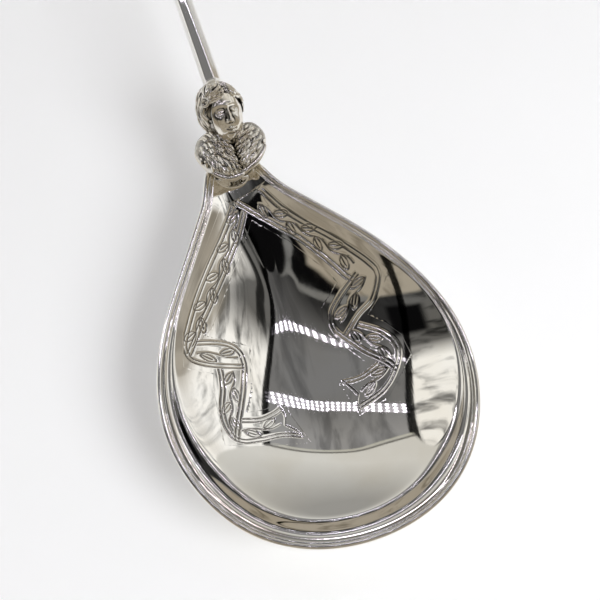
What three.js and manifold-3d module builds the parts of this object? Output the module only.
// A silver serving spoon: a fig-shaped bowl with a flared lip, a cast cherub at the neck, a six-sided
// stem and a robed figure as finial. It lies on a table, on the bowl's flattened foot and the figure's back.
import * as THREE from "three";
import { mergeVertices } from "three/addons/utils/BufferGeometryUtils.js";
import Module from "manifold-3d";

const wasm = await Module();
wasm.setup();

// Driving dimensions, in millimetres and degrees. X runs across the spoon, Y from the bowl's tip to the
// finial, Z up. The origin is on the table, under the middle of the bowl's foot.
const BOWL_WIDTH = 55;
const BOWL_LENGTH = 83; // tip to the point of the neck, which the wings cover
const TIP_REACH = 31; // foot to tip
const RIM_HEIGHT = 11.5; // the lip's edge above the table
const SHEET = 1; // the bowl's wall
const FOOT_WALL = 0.75; // what is left of the wall over the flattened foot
const FLOOR_TO_NECK = 38; // how far the rounded floor would reach toward the neck
const WALL_TO_NECK = 46; // where the trough of the neck has risen to the lip
const LIP_WIDTH = 4; // at the tip, where the lip is widest
const LIP_LEAST = 0.6; // beside the neck
const LIP_SLOPE = 0.4; // rise of the lip's band at its edge, for each millimetre outward
const RIM_WIRE = 1.1; // diameter of the wire round the lip
const WIRE_PROUD = 0.2; // the wire's top above the lip's edge
const WIRE_SHORT = 5; // the wire stops this far before the point of the neck
const JOINT_GAP = 0.3; // left between soldered pieces

const DROP_LENGTH = 20; // strap under the neck
const DROP_WIDTH = 5;
const DROP_DEPTH = 2;

const CROWN_FROM_NECK = 9; // point of the neck to the top of the cherub's head
const CROWN_OVER_RIM = 4.9; // the stem's axis above the lip's edge, where it leaves the head
const HEAD_WIDTH = 9.4;
const HEAD_TALL = 11.3;
const HEAD_DEEP = 9;
const HEAD_TILT = 24; // degrees the face leans from straight up toward the bowl
const HEAD_TURN = 8; // degrees the face turns toward +X
const WING_THICK = 3.3;

const STEM_FLATS = 3.2; // across the flats at the cherub
const STEM_FLATS_END = 2.5; // across the flats at the finial
const STEM_LENGTH = 92;
const STEM_RISE = 7.7; // degrees the stem climbs where it leaves the head
const TENON_FLATS = 1.5;
const TENON_LENGTH = 4.5;

const COLLAR_WIDTH = 5.4;
const COLLAR_LENGTH = 3;
const PLINTH_WIDTH = 7.6; // across the flats
const PLINTH_WAIST = 4.6;
const PLINTH_LENGTH = 4.4;
const FIGURE_TALL = 22.6;
const FIGURE_WIDTH = 6.6; // across the shoulders
const FIGURE_DEEP = 5.2;
const FACE_RADIUS = 2.2;
const HOOD_RADIUS = 3;
const HOOD_BEHIND = 0.5; // the hood's middle behind the figure's axis
const REST_CUT = 0.4; // flat filed on the hood where the spoon rests
const STAFF = 0.9; // diameter
const STAFF_LENGTH = 20.5;
const BOOK = { wide: 2.8, tall: 3.6, thick: 1.6 };
const BOOK_LEAN = 10; // degrees
const FACE_FORWARD = 0.35; // the face's middle before the figure's axis
const BEARD = { wide: 1.2, tall: 1.7, deep: 0.9 }; // half sizes, as are the next two
const SLEEVE = { wide: 1.2, tall: 3.3, deep: 1.4 };
const CUFF = { wide: 1.1, tall: 1.2, deep: 1.7 };
const FIST_WALL = 0.75; // metal round the staff

// Shape numbers of the bowl: how full it is along its length, and how its wall steepens.
const FULLNESS = { middle: 0.455, taper: -0.274, waist: -0.144 };
const WALL_POWER = 1.9;
const NECK_BLUNT = 16; // how firmly the wall stops short of the neck's point
const LIP_END = 0.4; // where the lip dies out, as the sine of the outline's turn
const LIP_FADE = 1.2; // and over how much of that sine it fades
const LIP_ROLL = 0.09; // roundness of the roll between wall and lip, for each millimetre of lip

// Fineness of the meshes.
const AROUND = 64;
const WIRE_STEPS = 60;
const WIRE_SIDES = 8;
const STEM_STEPS = 16;
const ROUND = 16;

// Sizes that follow from the ones above.
const NECK_END = BOWL_LENGTH - TIP_REACH;
const WIRE_TOP = RIM_HEIGHT + WIRE_PROUD;
const WING_SEAT = WIRE_TOP + JOINT_GAP;
const CROWN = new THREE.Vector3(0, NECK_END + CROWN_FROM_NECK, RIM_HEIGHT + CROWN_OVER_RIM);
const FLATS_TO_CORNER = 1 / Math.cos(Math.PI / 6);
const TENON_RADIUS = (TENON_FLATS / 2) * FLATS_TO_CORNER;
const SOCKET_RADIUS = TENON_RADIUS + JOINT_GAP * FLATS_TO_CORNER;
const RISE = THREE.MathUtils.degToRad(STEM_RISE);
const PLINTH_START = COLLAR_LENGTH + 2 * JOINT_GAP;
const FIGURE_START = PLINTH_START + PLINTH_LENGTH + JOINT_GAP;
const HOOD_ALONG = FIGURE_TALL - HOOD_RADIUS;
const FINIAL_LENGTH = FIGURE_START + HOOD_ALONG;

// Closed surface over a row of rings with equally many points. An end is a flat fan on its ring's middle,
// or on the point given for it.
function closedLoft(rings, firstPole, lastPole) {
  const count = rings[0].length;
  const middle = (ring) => ring.reduce((sum, p) => sum.add(p), new THREE.Vector3()).divideScalar(count);
  const points = [...rings.flat(), firstPole ?? middle(rings[0]), lastPole ?? middle(rings.at(-1))];
  const first = rings.length * count;
  const last = first + 1;
  const index = [];
  for (let i = 0; i < count; i++) {
    const next = (i + 1) % count;
    index.push(first, next, i);
    for (let row = 0; row < rings.length - 1; row++) {
      const low = row * count;
      const high = low + count;
      index.push(low + i, low + next, high + next);
      index.push(low + i, high + next, high + i);
    }
    index.push(last, first - count + i, first - count + next);
  }
  const geometry = new THREE.BufferGeometry().setFromPoints(points);
  geometry.setIndex(index);
  return geometry;
}

// A solid for joining and cutting, from a closed geometry.
function solid(geometry) {
  const bare = new THREE.BufferGeometry().setAttribute("position", geometry.getAttribute("position"));
  bare.setIndex(geometry.index);
  const merged = mergeVertices(bare, 1e-4);
  const vertProperties = new Float32Array(merged.getAttribute("position").array);
  const triVerts = new Uint32Array(merged.index.array);
  return new wasm.Manifold(new wasm.Mesh({ numProp: 3, vertProperties, triVerts }));
}

function fromSolid(made) {
  const { vertProperties, triVerts } = made.getMesh();
  const geometry = new THREE.BufferGeometry();
  geometry.setAttribute("position", new THREE.BufferAttribute(vertProperties, 3));
  geometry.setIndex(new THREE.BufferAttribute(triVerts, 1));
  return geometry;
}

// The bowl's outline, seen from above: a fig shape. turn is -90 degrees at the tip, +90 at the neck.
function outline(turn) {
  const along = Math.sin(turn);
  const fullness = FULLNESS.middle + FULLNESS.taper * along + FULLNESS.waist * along * along;
  const y = NECK_END - (BOWL_LENGTH / 2) * (1 - along);
  return new THREE.Vector2(BOWL_WIDTH * fullness * Math.cos(turn), y);
}

// The outline moved inward by a distance, at right angles to itself.
function insetOutline(turn, inset) {
  const step = 1e-3;
  const tangent = outline(turn + step).sub(outline(turn - step)).normalize();
  return outline(turn).add(new THREE.Vector2(-tangent.y, tangent.x).multiplyScalar(inset));
}

// Edge of the bowl's sheet: inside the rim wire, and out to the outline where the wire has ended.
function sheetEdge(turn) {
  const beforeEnd = NECK_END - outline(turn).y;
  const room = THREE.MathUtils.smoothstep(beforeEnd, 0.1 * WIRE_SHORT, 0.9 * WIRE_SHORT);
  return insetOutline(turn, room * (RIM_WIRE + JOINT_GAP));
}

function lipWidth(turn) {
  const share = THREE.MathUtils.smoothstep(LIP_END - Math.sin(turn), 0, LIP_FADE);
  return LIP_LEAST + (LIP_WIDTH - LIP_LEAST) * share;
}

// What the bowl's section needs along one ray from its middle: the reach of the sheet's edge, of the wall
// below the lip and of the rounded floor in that direction.
function ray(turn) {
  const toward = sheetEdge(turn);
  const edge = toward.length();
  toward.divideScalar(edge);
  const lip = lipWidth(turn);
  const blunt = 1 + ((edge - lip) / WALL_TO_NECK) ** NECK_BLUNT;
  const wall = (edge - lip) / blunt ** (1 / NECK_BLUNT);
  const side = BOWL_WIDTH / 2 - LIP_WIDTH;
  const tip = TIP_REACH - LIP_WIDTH;
  const even = (tip + FLOOR_TO_NECK) / 2;
  const lean = (tip - FLOOR_TO_NECK) / 2;
  const floor = side + (even - side) * toward.y ** 2 - lean * toward.y;
  return { toward, edge, lip, wall, floor };
}

// Share of the way up to the lip: round over the floor, and following the outline toward the lip.
function wallShare({ wall, floor }, reach) {
  const outward = (reach / wall) ** 2;
  return reach * ((1 - outward) / floor + outward / wall);
}

// Height of the bowl's inside at a distance from its middle: a wall that steepens outward, rolled over
// into the lip's gently rising, hollow band.
function innerHeight(along, reach) {
  const lipFoot = RIM_HEIGHT - LIP_SLOPE * along.lip * Math.tanh(1);
  const wall = FOOT_WALL + (lipFoot - FOOT_WALL) * wallShare(along, reach) ** WALL_POWER;
  const band = RIM_HEIGHT - LIP_SLOPE * along.lip * Math.tanh((along.edge - reach) / along.lip);
  return (wall + band) / 2 - Math.hypot((wall - band) / 2, LIP_ROLL * along.lip);
}

// The outside lies one sheet below, square to the wall, and is hammered flat where it meets the table.
function outerHeight(along, reach) {
  const step = Math.min(0.05, reach / 2);
  const rise = innerHeight(along, reach + step) - innerHeight(along, reach - step);
  return Math.max(0, innerHeight(along, reach) - SHEET * Math.hypot(1, rise / (2 * step)));
}

// The value between two bounds where a rising test first turns true.
function bisect(low, high, test) {
  for (let i = 0; i < 40; i++) {
    const middle = (low + high) / 2;
    if (test(middle)) high = middle;
    else low = middle;
  }
  return low;
}

// One ring of the bowl. share runs from 0 at the middle over 1 at the lip's roll to 2 at the edge.
function bowlRing(rays, share, height) {
  return rays.map((along) => {
    const onWall = bisect(0, along.wall, (reach) => wallShare(along, reach) > share);
    const reach = share < 1 ? onWall : THREE.MathUtils.lerp(along.wall, along.edge, share - 1);
    return new THREE.Vector3(along.toward.x * reach, along.toward.y * reach, height(along, reach));
  });
}

function bowl() {
  const footShare = ((SHEET - FOOT_WALL) / (RIM_HEIGHT - FOOT_WALL)) ** (1 / WALL_POWER);
  const outside = [footShare, 0.32, 0.46, 0.62, 0.76, 0.86, 0.93, 0.97, 1, 1.15, 1.5, 2];
  const inside = [2, 1.5, 1.2, 1.06, 0.97, 0.9, 0.8, 0.68, 0.55, 0.4, 0.25, 0.1];
  const rays = [];
  for (let i = 0; i < AROUND; i++) rays.push(ray((i / AROUND - 0.25) * 2 * Math.PI));
  const rings = outside.map((share) => bowlRing(rays, share, outerHeight));
  rings.push(...inside.map((share) => bowlRing(rays, share, innerHeight)));
  return closedLoft(rings, new THREE.Vector3(0, 0, 0), new THREE.Vector3(0, 0, FOOT_WALL));
}

// Round wire from one side of the neck round the tip to the other.
function rimWire() {
  const endSine = 1 - WIRE_SHORT / (BOWL_LENGTH / 2);
  const endTurn = Math.asin(endSine);
  const rings = [];
  for (let i = 0; i <= WIRE_STEPS; i++) {
    const turn = -Math.PI / 2 + (Math.PI / 2 + endTurn) * (1 - (2 * i) / WIRE_STEPS);
    const middle = insetOutline(turn, RIM_WIRE / 2);
    const outward = outline(turn).sub(middle).normalize();
    const ring = [];
    for (let side = 0; side < WIRE_SIDES; side++) {
      const angle = (side / WIRE_SIDES) * 2 * Math.PI;
      const out = (RIM_WIRE / 2) * Math.cos(angle);
      const up = (RIM_WIRE / 2) * (Math.sin(angle) - 1);
      ring.push(new THREE.Vector3(middle.x + outward.x * out, middle.y + outward.y * out, WIRE_TOP + up));
    }
    rings.push(ring);
  }
  return closedLoft(rings);
}

// Height of the bowl's underside over a point of the table.
function underside(x, y) {
  const bearing = Math.atan2(Math.abs(x), -y);
  const past = (turn) => Math.atan2(sheetEdge(turn).x, -sheetEdge(turn).y) > bearing;
  return outerHeight(ray(bisect(-Math.PI / 2, Math.PI / 2, past)), Math.hypot(x, y));
}

// Strap under the neck: a thin point on the bowl's back that grows into a seat for the head.
function neckDrop() {
  const seat = WING_SEAT - JOINT_GAP;
  const end = CROWN.y - HEAD_TALL * 0.72;
  const stations = 20;
  const rings = [];
  for (let i = 0; i <= stations; i++) {
    const y = THREE.MathUtils.lerp(end - DROP_LENGTH, end, i / stations);
    const grown = Math.sqrt((i + 0.15) / (stations + 0.15));
    const half = (DROP_WIDTH / 2) * grown;
    const past = THREE.MathUtils.smoothstep(y, NECK_END + JOINT_GAP, end);
    const top = (x) => {
      const below = underside(x, Math.min(y, NECK_END)) - JOINT_GAP;
      return THREE.MathUtils.lerp(below, seat - JOINT_GAP, past);
    };
    const ring = [];
    for (let j = 0; j < 7; j++) {
      const x = half * (j / 3 - 1);
      ring.push(new THREE.Vector3(x, y, top(x)));
    }
    for (let j = 6; j >= 0; j--) {
      const x = half * (j / 3 - 1);
      const sag = DROP_DEPTH * grown * (0.35 + 0.65 * Math.sqrt(Math.max(0, 1 - (x / half) ** 2)));
      ring.push(new THREE.Vector3(x, y, top(x) - sag));
    }
    rings.push(ring);
  }
  return fromSolid(solid(closedLoft(rings)).subtract(solid(headForm(JOINT_GAP))));
}

// Height of a smooth bump of a given breadth at the middle of two coordinates.
function bump(across, along, breadth) {
  return Math.exp(-(across * across + along * along) / (breadth * breadth));
}

// The cherub's head, swollen by a margin: an egg with a cap of hair, brow, nose, cheeks, lips and chin.
function headForm(margin) {
  const form = new THREE.SphereGeometry(1, 36, 24).rotateX(Math.PI / 2);
  form.deleteAttribute("normal");
  form.deleteAttribute("uv");
  const geometry = mergeVertices(form, 1e-4);
  const position = geometry.getAttribute("position");
  const p = new THREE.Vector3();
  for (let i = 0; i < position.count; i++) {
    p.fromBufferAttribute(position, i);
    const front = THREE.MathUtils.smoothstep(p.z, 0.1, 0.5);
    const hairline = THREE.MathUtils.smoothstep(0.5 - p.y - 0.9 * p.x * p.x, -0.06, 0.06);
    const face = front * hairline;
    const features =
      0.75 * bump(p.x, p.y + 0.12, 0.13) +
      0.3 * bump(p.x, p.y + 0.68, 0.22) +
      0.16 * bump(p.x, p.y + 0.4, 0.13) +
      0.22 * bump(Math.abs(p.x) - 0.4, p.y + 0.25, 0.25) +
      0.18 * bump(Math.abs(p.x) - 0.26, p.y - 0.2, 0.16) -
      0.3 * bump(Math.abs(p.x) - 0.28, p.y - 0.02, 0.12);
    const hair = (1 - face) * (0.3 + 0.12 * Math.cos(9 * Math.atan2(p.x, p.y)));
    const narrow = 1 - 0.16 * THREE.MathUtils.smoothstep(-p.y, 0.1, 1);
    const radial = 1 + (margin + hair + face * features) / (HEAD_WIDTH / 2);
    const inner = HEAD_WIDTH / 2 - 0.4;
    p.multiplyScalar(radial * inner);
    p.multiply(new THREE.Vector3(narrow, HEAD_TALL / HEAD_WIDTH, HEAD_DEEP / HEAD_WIDTH));
    position.setXYZ(i, p.x, p.y, p.z);
  }
  geometry.rotateY(THREE.MathUtils.degToRad(HEAD_TURN));
  geometry.rotateX(THREE.MathUtils.degToRad(HEAD_TILT));
  const middle = alongStem(-0.47 * HEAD_TALL);
  return geometry.translate(middle.x, middle.y, middle.z);
}

function cherubHead() {
  const depth = TENON_LENGTH + JOINT_GAP;
  const rings = [-depth, depth].map((along) => hexRing(along, SOCKET_RADIUS));
  return fromSolid(solid(headForm(0)).subtract(solid(closedLoft(rings))));
}

// A wing: a plump lobe over its outline, flat below, hollowed where the head sits against it. side is -1
// for the left one, and the outline stops at the split between the two.
function wing(side, points) {
  const place = ([x, y]) => new THREE.Vector3(x, NECK_END + y, 0);
  const curve = new THREE.CatmullRomCurve3(points.map(place), true);
  const edge = curve.getSpacedPoints(28).slice(0, -1);
  edge.forEach((p) => p.setX(side * Math.max(side * p.x, JOINT_GAP / 2)));
  const middle = edge.reduce((sum, p) => sum.add(p), new THREE.Vector3()).divideScalar(edge.length);
  middle.x *= 0.6;
  const levels = [
    [0.93, 0],
    [1, 0.3],
    [0.96, 0.6],
    [0.82, 0.83],
    [0.55, 0.96],
  ];
  const rings = levels.map(([spread, level]) =>
    edge.map((p) => middle.clone().lerp(p, spread).setZ(WING_SEAT + WING_THICK * level)),
  );
  const top = middle.clone().setZ(WING_SEAT + WING_THICK);
  return fromSolid(solid(closedLoft(rings, undefined, top)).subtract(solid(headForm(JOINT_GAP))));
}

// Plan of the wings, from the neck's point: the left one is longer and hangs lower on the bowl.
const LEFT_WING = [
  [0, -5.5],
  [0, -1.6],
  [-3.1, 1],
  [-6, 0.1],
  [-7.5, -2.8],
  [-6.9, -5.7],
  [-5.5, -7.9],
  [-3.3, -9.9],
  [-1.2, -10.2],
  [0, -9.5],
];
const RIGHT_WING = [
  [0, -5.5],
  [0, -1.6],
  [3.1, 0.8],
  [5.4, 0.3],
  [6.6, -2.6],
  [5.8, -5.3],
  [3.6, -7.8],
  [1.6, -9],
  [0, -9.3],
].reverse();

// The finial hangs from the stem's end. Height of the hood's back over the table for a stem that
// ends in a given downward slope.
function hoodClearance(fall) {
  const radius = STEM_LENGTH / (RISE + fall);
  const stemEnd = CROWN.z + radius * (Math.cos(fall) - Math.cos(RISE));
  return stemEnd - FINIAL_LENGTH * Math.sin(fall) - HOOD_BEHIND * Math.cos(fall) - HOOD_RADIUS;
}

// The slope that lets the filed flat of the hood lie on the table.
const FALL = bisect(0, Math.PI / 2, (fall) => hoodClearance(fall) < -REST_CUT);
const ARCH_RADIUS = STEM_LENGTH / (RISE + FALL);

// The stem's axis is an arc that starts at the crown and comes down to the finial. Before and beyond it
// the axis runs straight on.
function slopeAlong(along) {
  return RISE - THREE.MathUtils.clamp(along, 0, STEM_LENGTH) / ARCH_RADIUS;
}

function alongStem(along) {
  const slope = slopeAlong(along);
  const straight = along - THREE.MathUtils.clamp(along, 0, STEM_LENGTH);
  const y = ARCH_RADIUS * (Math.sin(RISE) - Math.sin(slope)) + straight * Math.cos(slope);
  const z = ARCH_RADIUS * (Math.cos(slope) - Math.cos(RISE)) + straight * Math.sin(slope);
  return new THREE.Vector3(0, CROWN.y + y, CROWN.z + z);
}

// Six corners round the stem's axis, one of them straight up.
function hexRing(along, radius) {
  const slope = slopeAlong(along);
  const up = new THREE.Vector3(0, -Math.sin(slope), Math.cos(slope));
  const ring = [];
  for (let corner = 0; corner < 6; corner++) {
    const angle = (corner / 6) * 2 * Math.PI;
    const point = alongStem(along).addScaledVector(up, radius * Math.cos(angle));
    ring.push(point.setX(radius * Math.sin(angle)));
  }
  return ring;
}

function stem() {
  const rings = [hexRing(-TENON_LENGTH, TENON_RADIUS), hexRing(JOINT_GAP, TENON_RADIUS)];
  for (let i = 0; i <= STEM_STEPS; i++) {
    const along = THREE.MathUtils.lerp(JOINT_GAP, STEM_LENGTH, i / STEM_STEPS);
    const flats = THREE.MathUtils.lerp(STEM_FLATS, STEM_FLATS_END, i / STEM_STEPS);
    rings.push(hexRing(along, (flats / 2) * FLATS_TO_CORNER));
  }
  const tip = STEM_LENGTH + COLLAR_LENGTH + 2 * JOINT_GAP + TENON_LENGTH / 2;
  rings.push(hexRing(STEM_LENGTH, TENON_RADIUS), hexRing(tip, TENON_RADIUS));
  return closedLoft(rings);
}

// Finial pieces are turned about their own Y axis, which continues the stem, and face their own +Z.
function lathe(profile, sides) {
  const points = profile.map(([radius, along]) => new THREE.Vector2(radius, along));
  return new THREE.LatheGeometry(points, sides);
}

function finialCollar() {
  const low = JOINT_GAP;
  const high = JOINT_GAP + COLLAR_LENGTH;
  const bead = COLLAR_WIDTH / 2;
  const profile = [
    [SOCKET_RADIUS, low],
    [0.72 * bead, low],
    [0.92 * bead, low + 0.15 * COLLAR_LENGTH],
    [bead, low + 0.5 * COLLAR_LENGTH],
    [0.92 * bead, low + 0.85 * COLLAR_LENGTH],
    [0.72 * bead, high],
    [SOCKET_RADIUS, high],
    [SOCKET_RADIUS, low],
  ];
  return lathe(profile, ROUND);
}

// Six-sided base: a wide step below, a hollow waist and a wide top that the figure stands on.
function plinth() {
  const corner = (PLINTH_WIDTH / 2) * FLATS_TO_CORNER;
  const waist = (PLINTH_WAIST / 2) * FLATS_TO_CORNER;
  const at = (share) => PLINTH_START + PLINTH_LENGTH * share;
  const socket = PLINTH_START + TENON_LENGTH / 2 + JOINT_GAP;
  const profile = [
    [0, socket],
    [SOCKET_RADIUS, socket],
    [SOCKET_RADIUS, at(0)],
    [0.8 * corner, at(0)],
    [0.8 * corner, at(0.18)],
    [waist, at(0.34)],
    [waist, at(0.52)],
    [corner, at(0.74)],
    [corner, at(1)],
    [0, at(1)],
  ];
  return lathe(profile, 6);
}

// An ellipsoid at a place of the figure, its own Y up the figure, with the half sizes given.
function blob(x, y, z, { wide, tall, deep }) {
  const ball = new THREE.SphereGeometry(1, ROUND, 10);
  return ball.scale(wide, tall, deep).translate(x, FIGURE_START + y, z);
}

// The robe: ovals from the hem to the neck, with folds that fade toward the shoulders.
function robe() {
  const shape = [
    [0, 0.92, 0.9],
    [0.1, 0.9, 0.88],
    [0.3, 0.8, 0.84],
    [0.45, 0.82, 0.92],
    [0.6, 0.95, 1],
    [0.68, 1, 0.98],
    [0.74, 0.78, 0.8],
    [0.78, 0.42, 0.5],
    [0.84, 0.36, 0.42],
  ];
  const sides = 28;
  const rings = shape.map(([up, wide, deep]) => {
    const ring = [];
    for (let i = 0; i < sides; i++) {
      const angle = (i / sides) * 2 * Math.PI;
      const fold = 1 + 0.07 * Math.cos(7 * angle) * (1 - up);
      const x = (FIGURE_WIDTH / 2) * wide * fold * Math.cos(angle);
      const z = (FIGURE_DEEP / 2) * deep * fold * Math.sin(angle);
      ring.push(new THREE.Vector3(x, FIGURE_START + FIGURE_TALL * up, -z));
    }
    return ring;
  });
  return closedLoft(rings);
}

// The staff stands on the plinth, clear of the robe, and passes through the figure's fist.
const STAFF_AT = { x: 0.41 * FIGURE_WIDTH, z: FIGURE_DEEP / 2 - JOINT_GAP };
const FIST_UP = 0.44 * FIGURE_TALL;

function staffRod(radius, low, high) {
  const rod = new THREE.CylinderGeometry(radius, radius, high - low, 10);
  return rod.translate(STAFF_AT.x, (low + high) / 2, STAFF_AT.z);
}

function staff() {
  const top = FIGURE_START + STAFF_LENGTH;
  const rod = solid(staffRod(STAFF / 2, FIGURE_START, top));
  const knob = new THREE.SphereGeometry(0.85 * STAFF, 10, 8).translate(STAFF_AT.x, top, STAFF_AT.z);
  return fromSolid(rod.add(solid(knob)));
}

function egg(radius) {
  return { wide: 0.86 * radius, tall: radius, deep: radius };
}

// The figure in one casting: robe, hood, face, beard, sleeves, fists and book, drilled for the staff and
// filed flat where its back lies on the table.
function apostleFigure(finial) {
  const arm = 0.46 * FIGURE_WIDTH;
  const elbow = 0.57 * FIGURE_TALL;
  const hand = STAFF_AT.z - CUFF.deep / 2;
  const face = FIGURE_TALL - FACE_RADIUS - FACE_FORWARD;
  const book = new THREE.BoxGeometry(BOOK.wide, BOOK.tall, BOOK.thick);
  book.rotateZ(THREE.MathUtils.degToRad(BOOK_LEAN));
  book.translate(-0.22 * FIGURE_WIDTH, FIGURE_START + 0.47 * FIGURE_TALL, FIGURE_DEEP / 2);
  const fist = { wide: STAFF / 2 + FIST_WALL, tall: CUFF.tall, deep: STAFF / 2 + FIST_WALL };
  const pieces = [
    blob(0, face, FACE_FORWARD, egg(FACE_RADIUS)),
    blob(0, HOOD_ALONG, -HOOD_BEHIND, egg(HOOD_RADIUS)),
    blob(0, face - FACE_RADIUS, FACE_FORWARD + BEARD.wide, BEARD),
    blob(arm, elbow, 0, SLEEVE),
    blob(-arm, elbow, 0, SLEEVE),
    blob(STAFF_AT.x, FIST_UP, hand, CUFF),
    blob(-STAFF_AT.x, FIST_UP, hand, CUFF),
    blob(STAFF_AT.x, FIST_UP, STAFF_AT.z, fist),
    book,
  ];
  const joined = pieces.reduce((sum, piece) => sum.add(solid(piece)), solid(robe()));
  const grip = staffRod(STAFF / 2 + JOINT_GAP, 0, 2 * (FIGURE_START + FIGURE_TALL));
  const table = new THREE.BoxGeometry(4 * FIGURE_WIDTH, 4 * FIGURE_TALL, HOOD_RADIUS);
  table.translate(0, finial.position.y, -HOOD_RADIUS / 2);
  table.applyMatrix4(finial.matrix.clone().invert());
  return fromSolid(joined.subtract(solid(grip)).subtract(solid(table)));
}

function silver(color, roughness) {
  return new THREE.MeshStandardMaterial({ color, roughness, metalness: 1 });
}
const polished = { color: 0xd9d6d0, roughness: 0.08 };
const cast = { color: 0xb9b5ad, roughness: 0.3 };

function piece(name, geometry, finish) {
  const mesh = new THREE.Mesh(geometry, silver(finish.color, finish.roughness));
  mesh.name = name;
  return mesh;
}

const spoon = new THREE.Group();
spoon.add(piece("bowl", bowl(), polished));
spoon.add(piece("rim_wire", rimWire(), polished));
spoon.add(piece("neck_drop", neckDrop(), polished));
spoon.add(piece("cherub_head", cherubHead(), cast));
spoon.add(piece("left_wing", wing(-1, LEFT_WING), cast));
spoon.add(piece("right_wing", wing(1, RIGHT_WING), cast));
spoon.add(piece("stem", stem(), polished));

const finial = new THREE.Group();
finial.position.copy(alongStem(STEM_LENGTH));
finial.rotation.x = -FALL;
finial.updateMatrix();
finial.add(piece("finial_collar", finialCollar(), polished));
finial.add(piece("plinth", plinth(), polished));
finial.add(piece("apostle_figure", apostleFigure(finial), cast));
finial.add(piece("staff", staff(), polished));
spoon.add(finial);

export default spoon;
